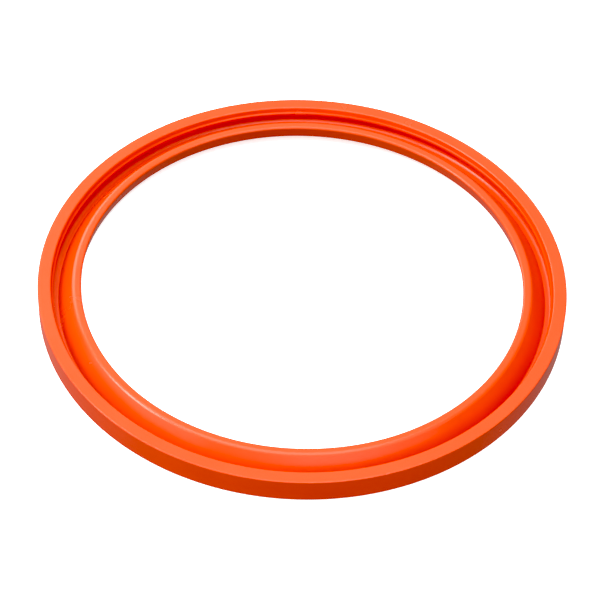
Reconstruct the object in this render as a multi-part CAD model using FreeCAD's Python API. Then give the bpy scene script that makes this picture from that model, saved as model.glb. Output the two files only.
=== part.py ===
"""Lid sealing ring of a stovetop pressure cooker: one moulding of silicone rubber.

The origin is at the ring's centre on the plane of its flat base, with +Z up through the hole.
One section outline is turned about the Z axis. All lengths are in millimetres.
"""
import FreeCAD, Part
import math
import os

# Overall sizes
outer_diameter = 240.0
ring_height = 12.0
section_width = 20.0

# Outer wall, from its top land down to the channel
wall_top_width = 6.0
wall_face_draft = 0.45
wall_face_depth = 2.3
bead_proud = 0.55
bead_slope_depth = 0.8
bead_depth = 1.3
undercut_width = 1.4
undercut_depth = 0.35

# Channel between the wall and the lip
channel_root_width = 9.1
channel_floor = 3.5

# Sealing lip
lip_land_width = 4.0
lip_drop = 0.5
lip_face_height = 7.1
lip_face_rake = 1.7
lip_thickness = 3.6

# Rounding of the section's corners
base_round = 1.0
wall_outer_round = 0.5
wall_inner_round = 0.8
face_blend = 0.8
bead_round = 0.5
bead_edge_round = 0.2
undercut_round = 0.4
channel_hollow_round = 2.3
channel_root_round = 0.25
lip_outer_round = 2.4
lip_inner_round = 1.1
lip_foot_round = 0.7
lip_root_blend = 2.0

# Largest share of a straight side that the arcs at its two ends may take up
side_share = 0.9


def wall_corners(outer_radius):
    """Corners of the outer wall as (radius, height, rounding), from the base up and into the channel."""
    face_radius = outer_radius - wall_top_width
    bead_top = ring_height - wall_face_depth
    bead_radius = face_radius - wall_face_draft - bead_proud
    bead_nose = bead_top - bead_slope_depth
    bead_foot = bead_nose - bead_depth
    hollow_radius = bead_radius + undercut_width
    return [
        (outer_radius, 0.0, base_round),
        (outer_radius, ring_height, wall_outer_round),
        (face_radius, ring_height, wall_inner_round),
        (face_radius - wall_face_draft, bead_top, face_blend),
        (bead_radius, bead_nose, bead_round),
        (bead_radius, bead_foot, bead_edge_round),
        (hollow_radius, bead_foot - undercut_depth, undercut_round),
        (hollow_radius, channel_floor, channel_hollow_round),
    ]


def lip_corners(outer_radius):
    """Corners of the lip from its root in the channel; its underside runs level with its upper slope."""
    land_height = ring_height - lip_drop
    hole_radius = outer_radius - section_width
    root = FreeCAD.Vector(outer_radius - channel_root_width, 0, channel_floor)
    land_edge = FreeCAD.Vector(hole_radius + lip_land_width, 0, land_height)
    slope = (land_edge - root).normalize()
    under = root + FreeCAD.Vector(-slope.z, 0, slope.x) * lip_thickness
    foot_height = land_height - lip_face_height

    def under_radius(height):
        return under.x + slope.x * (height - under.z) / slope.z

    return [
        (root.x, root.z, channel_root_round),
        (land_edge.x, land_edge.z, lip_outer_round),
        (hole_radius, land_height, lip_inner_round),
        (hole_radius + lip_face_rake, foot_height, lip_foot_round),
        (under_radius(foot_height), foot_height, lip_root_blend),
        (under_radius(0.0), 0.0, base_round),
    ]


def rounded_outline(corners):
    """Closed wire of straight sides and tangent arcs, each arc limited by the sides that it joins."""
    count = len(corners)
    points = [FreeCAD.Vector(radius, 0, height) for radius, height, rounding in corners]
    sides = [points[(i + 1) % count] - points[i] for i in range(count)]
    turns = [sides[i - 1].getAngle(sides[i]) for i in range(count)]
    reach = [corners[i][2] * math.tan(turns[i] / 2) for i in range(count)]
    room = [side_share * sides[i].Length / (reach[i] + reach[(i + 1) % count]) for i in range(count)]
    trims = [reach[i] * min(1.0, room[i - 1], room[i]) for i in range(count)]
    edges = []
    for i in range(count):
        into = FreeCAD.Vector(sides[i - 1]).normalize()
        out = FreeCAD.Vector(sides[i]).normalize()
        start = points[i] - into * trims[i]
        end = points[i] + out * trims[i]
        radius = trims[i] / math.tan(turns[i] / 2)
        centre_way = (out - into).normalize()
        centre = points[i] + centre_way * (radius / math.cos(turns[i] / 2))
        edges.append(Part.Arc(start, centre - centre_way * radius, end).toShape())
        after = (i + 1) % count
        edges.append(Part.makeLine(end, points[after] - out * trims[after]))
    return Part.Wire(edges)


def sealing_ring():
    """The whole ring: the section outline turned once about the Z axis."""
    outer_radius = outer_diameter / 2
    outline = rounded_outline(wall_corners(outer_radius) + lip_corners(outer_radius))
    return Part.Face(outline).revolve(FreeCAD.Vector(0, 0, 0), FreeCAD.Vector(0, 0, 1), 360)


os.makedirs("parts", exist_ok=True)
sealing_ring().exportStep("parts/sealing_ring.step")
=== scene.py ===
import math

import bmesh
import bpy
from mathutils import Matrix, Vector


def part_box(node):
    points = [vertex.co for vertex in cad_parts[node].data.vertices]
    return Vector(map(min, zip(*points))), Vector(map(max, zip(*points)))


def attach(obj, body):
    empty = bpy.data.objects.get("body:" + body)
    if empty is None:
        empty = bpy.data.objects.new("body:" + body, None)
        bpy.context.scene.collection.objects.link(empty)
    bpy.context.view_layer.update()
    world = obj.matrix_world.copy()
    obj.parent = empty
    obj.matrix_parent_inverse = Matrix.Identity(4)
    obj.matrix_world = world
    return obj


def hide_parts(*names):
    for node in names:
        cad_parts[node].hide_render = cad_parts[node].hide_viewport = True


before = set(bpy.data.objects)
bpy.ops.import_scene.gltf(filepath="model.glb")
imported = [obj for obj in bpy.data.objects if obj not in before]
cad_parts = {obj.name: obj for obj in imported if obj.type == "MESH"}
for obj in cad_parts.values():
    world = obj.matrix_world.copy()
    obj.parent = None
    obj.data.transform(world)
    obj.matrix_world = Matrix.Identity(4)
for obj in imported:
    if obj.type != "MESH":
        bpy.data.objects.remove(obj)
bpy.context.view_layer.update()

MM = 0.001
low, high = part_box("sealing_ring")
centre = (low + high) / 2
base_height = low.z
ring_height = high.z - low.z
outer_radius = max(high.x - low.x, high.y - low.y) / 2

# The ring's section, in metres
SECTION_WIDTH = 20.0 * MM
WALL_TOP_WIDTH = 6.0 * MM
WALL_FACE_DRAFT = 0.45 * MM
WALL_FACE_DEPTH = 2.3 * MM
BEAD_PROUD = 0.55 * MM
BEAD_SLOPE_DEPTH = 0.8 * MM
BEAD_DEPTH = 1.3 * MM
UNDERCUT_WIDTH = 1.4 * MM
UNDERCUT_DEPTH = 0.35 * MM
CHANNEL_ROOT_WIDTH = 9.1 * MM
CHANNEL_FLOOR = 3.5 * MM
LIP_LAND_WIDTH = 4.0 * MM
LIP_DROP = 0.5 * MM
LIP_FACE_HEIGHT = 7.1 * MM
LIP_FACE_RAKE = 1.7 * MM
LIP_THICKNESS = 3.6 * MM

# Rounding of the section's corners, in metres
BASE_ROUND = 1.0 * MM
WALL_OUTER_ROUND = 0.5 * MM
WALL_INNER_ROUND = 0.8 * MM
FACE_BLEND = 0.8 * MM
BEAD_ROUND = 0.5 * MM
BEAD_EDGE_ROUND = 0.2 * MM
UNDERCUT_ROUND = 0.4 * MM
CHANNEL_HOLLOW_ROUND = 2.3 * MM
CHANNEL_ROOT_ROUND = 0.25 * MM
LIP_OUTER_ROUND = 2.4 * MM
LIP_INNER_ROUND = 1.1 * MM
LIP_FOOT_ROUND = 0.7 * MM
LIP_ROOT_BLEND = 2.0 * MM

# Steps round the turn and in each rounding, and how near two points have to be to count as one
TURN_STEPS = 480
ROUND_STEPS = 6
SAME_PLACE = 0.01 * MM

# How far the larger faces steer the shading of the ring, where 50 is even
LARGE_FACE_PULL = 100


def section_corners():
    """Corners as (radius, height, rounding), from the outer foot up, over and back under the lip."""
    face = outer_radius - WALL_TOP_WIDTH
    bead = face - WALL_FACE_DRAFT - BEAD_PROUD
    bead_top = ring_height - WALL_FACE_DEPTH
    bead_nose = bead_top - BEAD_SLOPE_DEPTH
    bead_foot = bead_nose - BEAD_DEPTH
    hollow = bead + UNDERCUT_WIDTH
    land = ring_height - LIP_DROP
    hole = outer_radius - SECTION_WIDTH
    root = Vector((outer_radius - CHANNEL_ROOT_WIDTH, CHANNEL_FLOOR))
    land_edge = Vector((hole + LIP_LAND_WIDTH, land))
    slope = (land_edge - root).normalized()
    under = root + Vector((-slope.y, slope.x)) * LIP_THICKNESS
    foot = land - LIP_FACE_HEIGHT

    def under_radius(height):
        return under.x + slope.x * (height - under.y) / slope.y

    return [
        (outer_radius, 0.0, BASE_ROUND),
        (outer_radius, ring_height, WALL_OUTER_ROUND),
        (face, ring_height, WALL_INNER_ROUND),
        (face - WALL_FACE_DRAFT, bead_top, FACE_BLEND),
        (bead, bead_nose, BEAD_ROUND),
        (bead, bead_foot, BEAD_EDGE_ROUND),
        (hollow, bead_foot - UNDERCUT_DEPTH, UNDERCUT_ROUND),
        (hollow, CHANNEL_FLOOR, CHANNEL_HOLLOW_ROUND),
        (root.x, root.y, CHANNEL_ROOT_ROUND),
        (land_edge.x, land_edge.y, LIP_OUTER_ROUND),
        (hole, land, LIP_INNER_ROUND),
        (hole + LIP_FACE_RAKE, foot, LIP_FOOT_ROUND),
        (under_radius(foot), foot, LIP_ROOT_BLEND),
        (under_radius(0.0), 0.0, BASE_ROUND),
    ]


def on_circle(vert, radius, height):
    """Whether a vertex lies on the circle that one corner of the section sweeps."""
    off_radius = math.hypot(vert.co.x, vert.co.y) - radius
    off_height = vert.co.z - height
    return abs(off_radius) < SAME_PLACE and abs(off_height) < SAME_PLACE


def moulded_ring(name, corners):
    """Spins the sharp section once round the axis, then rounds each corner's circle by its own amount."""
    bm = bmesh.new()
    verts = [bm.verts.new((radius, 0.0, height)) for radius, height, rounding in corners]
    edges = [bm.edges.new((verts[i - 1], verts[i])) for i in range(len(verts))]
    bmesh.ops.spin(
        bm, geom=verts + edges, cent=(0, 0, 0), axis=(0, 0, 1),
        angle=math.tau, steps=TURN_STEPS, use_merge=True,
    )
    bmesh.ops.remove_doubles(bm, verts=bm.verts, dist=SAME_PLACE)
    bmesh.ops.recalc_face_normals(bm, faces=bm.faces)
    points = [Vector((radius, height)) for radius, height, rounding in corners]
    for i, (radius, height, rounding) in enumerate(corners):
        before = points[i] - points[i - 1]
        after = points[(i + 1) % len(points)] - points[i]
        turn = before.angle(after)
        circle = [edge for edge in bm.edges if all(on_circle(vert, radius, height) for vert in edge.verts)]
        bmesh.ops.bevel(
            bm, geom=circle, offset=rounding * math.tan(turn / 2), offset_type="OFFSET",
            segments=ROUND_STEPS, profile=0.5, affect="EDGES", material=-1, clamp_overlap=False,
        )
    bmesh.ops.translate(bm, verts=bm.verts, vec=(centre.x, centre.y, base_height))
    bmesh.ops.recalc_face_normals(bm, faces=bm.faces)
    for face in bm.faces:
        face.smooth = True
    mesh = bpy.data.meshes.new(name)
    bm.to_mesh(mesh)
    bm.free()
    ring = bpy.data.objects.new(name, mesh)
    bpy.context.scene.collection.objects.link(ring)
    return ring


ring = moulded_ring("silicone_ring", section_corners())
weighted = ring.modifiers.new("even_normals", "WEIGHTED_NORMAL")
weighted.weight = LARGE_FACE_PULL
weighted.keep_sharp = False

# Silicone: its two close shades, its sheen, and its moulded skin
DEEP_SHADE = (0.54, 0.064, 0.021, 1)
PALE_SHADE = (0.56, 0.067, 0.023, 1)
SHEEN_ROUGHNESS = (0.24, 0.29)
SILICONE_IOR = 1.41
SILICONE_SPECULAR = 0.45
CLOUD_SCALE = 45.0
CLOUD_DETAIL = 4.0
DEEP_UP_TO = 0.35
PALE_FROM = 0.65
SKIN_SCALE = 1800.0
SKIN_DETAIL = 2.0
SKIN_STRENGTH = 0.15
SKIN_DEPTH = 0.02 * MM


def silicone():
    """Satin silicone rubber, coloured right through, with a faint cloudiness and a fine moulded skin."""
    material = bpy.data.materials.new("silicone")
    material.use_nodes = True
    nodes = material.node_tree.nodes
    links = material.node_tree.links
    shader = nodes["Principled BSDF"]
    shader.inputs["IOR"].default_value = SILICONE_IOR
    shader.inputs["Specular IOR Level"].default_value = SILICONE_SPECULAR
    place = nodes.new("ShaderNodeTexCoord")

    cloud = nodes.new("ShaderNodeTexNoise")
    cloud.inputs["Scale"].default_value = CLOUD_SCALE
    cloud.inputs["Detail"].default_value = CLOUD_DETAIL
    links.new(place.outputs["Object"], cloud.inputs["Vector"])
    tint = nodes.new("ShaderNodeValToRGB")
    deep, pale = tint.color_ramp.elements
    deep.position = DEEP_UP_TO
    deep.color = DEEP_SHADE
    pale.position = PALE_FROM
    pale.color = PALE_SHADE
    links.new(cloud.outputs["Fac"], tint.inputs["Fac"])
    links.new(tint.outputs["Color"], shader.inputs["Base Color"])

    sheen = nodes.new("ShaderNodeMapRange")
    sheen.inputs["To Min"].default_value = SHEEN_ROUGHNESS[0]
    sheen.inputs["To Max"].default_value = SHEEN_ROUGHNESS[1]
    links.new(cloud.outputs["Fac"], sheen.inputs["Value"])
    links.new(sheen.outputs["Result"], shader.inputs["Roughness"])

    skin = nodes.new("ShaderNodeTexNoise")
    skin.inputs["Scale"].default_value = SKIN_SCALE
    skin.inputs["Detail"].default_value = SKIN_DETAIL
    links.new(place.outputs["Object"], skin.inputs["Vector"])
    bump = nodes.new("ShaderNodeBump")
    bump.inputs["Strength"].default_value = SKIN_STRENGTH
    bump.inputs["Distance"].default_value = SKIN_DEPTH
    links.new(skin.outputs["Fac"], bump.inputs["Height"])
    links.new(bump.outputs["Normal"], shader.inputs["Normal"])
    return material


ring.data.materials.append(silicone())
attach(ring, "root")
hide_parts("sealing_ring")

# Studio: a floor just under the ring, soft boxes at one distance, and an even world
FLOOR_HALF_WIDTH = 3.0
FLOOR_GAP = 0.05 * MM
FLOOR_GREY = (0.8, 0.8, 0.8, 1)
FLOOR_ROUGHNESS = 0.9
FLOOR_GLOW = 0.6
LIGHT_DISTANCE = 1.2
WORLD_STRENGTH = 0.43
BLACK_LEVEL = 0.057
WHITE = (1, 1, 1, 1)


def studio_floor():
    """A wide, plain pale floor, which throws no light back up at the ring."""
    bm = bmesh.new()
    bmesh.ops.create_grid(bm, x_segments=1, y_segments=1, size=FLOOR_HALF_WIDTH)
    bmesh.ops.translate(bm, verts=bm.verts, vec=(centre.x, centre.y, base_height - FLOOR_GAP))
    mesh = bpy.data.meshes.new("floor")
    bm.to_mesh(mesh)
    bm.free()
    floor = bpy.data.objects.new("floor", mesh)
    bpy.context.scene.collection.objects.link(floor)
    material = bpy.data.materials.new("pale_floor")
    material.use_nodes = True
    shader = material.node_tree.nodes["Principled BSDF"]
    shader.inputs["Base Color"].default_value = FLOOR_GREY
    shader.inputs["Roughness"].default_value = FLOOR_ROUGHNESS
    shader.inputs["Emission Color"].default_value = WHITE
    shader.inputs["Emission Strength"].default_value = FLOOR_GLOW
    floor.data.materials.append(material)
    floor.visible_diffuse = False
    floor.visible_glossy = False


def soft_light(name, azimuth, elevation, size, power):
    """A square soft box that looks at the ring from an azimuth measured from +X towards +Y."""
    data = bpy.data.lights.new(name, "AREA")
    data.shape = "SQUARE"
    data.size = size
    data.energy = power
    light = bpy.data.objects.new(name, data)
    bpy.context.scene.collection.objects.link(light)
    turn = math.radians(azimuth)
    rise = math.radians(elevation)
    way = Vector((math.cos(turn) * math.cos(rise), math.sin(turn) * math.cos(rise), math.sin(rise)))
    light.location = centre + way * LIGHT_DISTANCE
    light.rotation_euler = way.to_track_quat("Z", "Y").to_euler()
    light.visible_camera = False


def studio_world():
    """An even white world, and a plain view with a raised black level that keeps the shaded reds deep."""
    world = bpy.data.worlds.new("studio")
    world.use_nodes = True
    background = world.node_tree.nodes["Background"]
    background.inputs["Color"].default_value = WHITE
    background.inputs["Strength"].default_value = WORLD_STRENGTH
    bpy.context.scene.world = world
    view = bpy.context.scene.view_settings
    view.view_transform = "Standard"
    view.use_curve_mapping = True
    view.curve_mapping.black_level = (BLACK_LEVEL, BLACK_LEVEL, BLACK_LEVEL)


studio_floor()
soft_light("overhead", azimuth=180, elevation=86, size=1.0, power=14.5)
soft_light("key", azimuth=182, elevation=48, size=0.4, power=10.0)
soft_light("left_low", azimuth=200, elevation=22, size=1.3, power=9.0)
soft_light("back_left", azimuth=130, elevation=28, size=0.7, power=6.5)
soft_light("back", azimuth=85, elevation=46, size=1.5, power=5.0)
soft_light("front", azimuth=300, elevation=50, size=1.4, power=8.5)
soft_light("front_low", azimuth=275, elevation=15, size=1.4, power=5.5)
studio_world()

# Camera: a long lens from the front, held slightly out of level
VIEW_ELEVATION = math.radians(46.6)
VIEW_DISTANCE = 1.126
VIEW_ROLL = math.radians(2.09)
AIM_RIGHT = -0.8 * MM
AIM_BACK = -3.1 * MM
LENS = 147.6
SENSOR_WIDTH = 36.0


def studio_camera():
    """The camera, placed from the middle of the ring's base and aimed a little off it."""
    foot = Vector((centre.x, centre.y, base_height))
    eye = foot + VIEW_DISTANCE * Vector((0, -math.cos(VIEW_ELEVATION), math.sin(VIEW_ELEVATION)))
    aim = foot + Vector((AIM_RIGHT, AIM_BACK, 0))
    data = bpy.data.cameras.new("camera")
    data.lens = LENS
    data.sensor_width = SENSOR_WIDTH
    camera = bpy.data.objects.new("camera", data)
    bpy.context.scene.collection.objects.link(camera)
    level = (eye - aim).to_track_quat("Z", "Y").to_matrix().to_4x4()
    camera.matrix_world = Matrix.Translation(eye) @ level @ Matrix.Rotation(VIEW_ROLL, 4, "Z")
    bpy.context.scene.camera = camera


studio_camera()
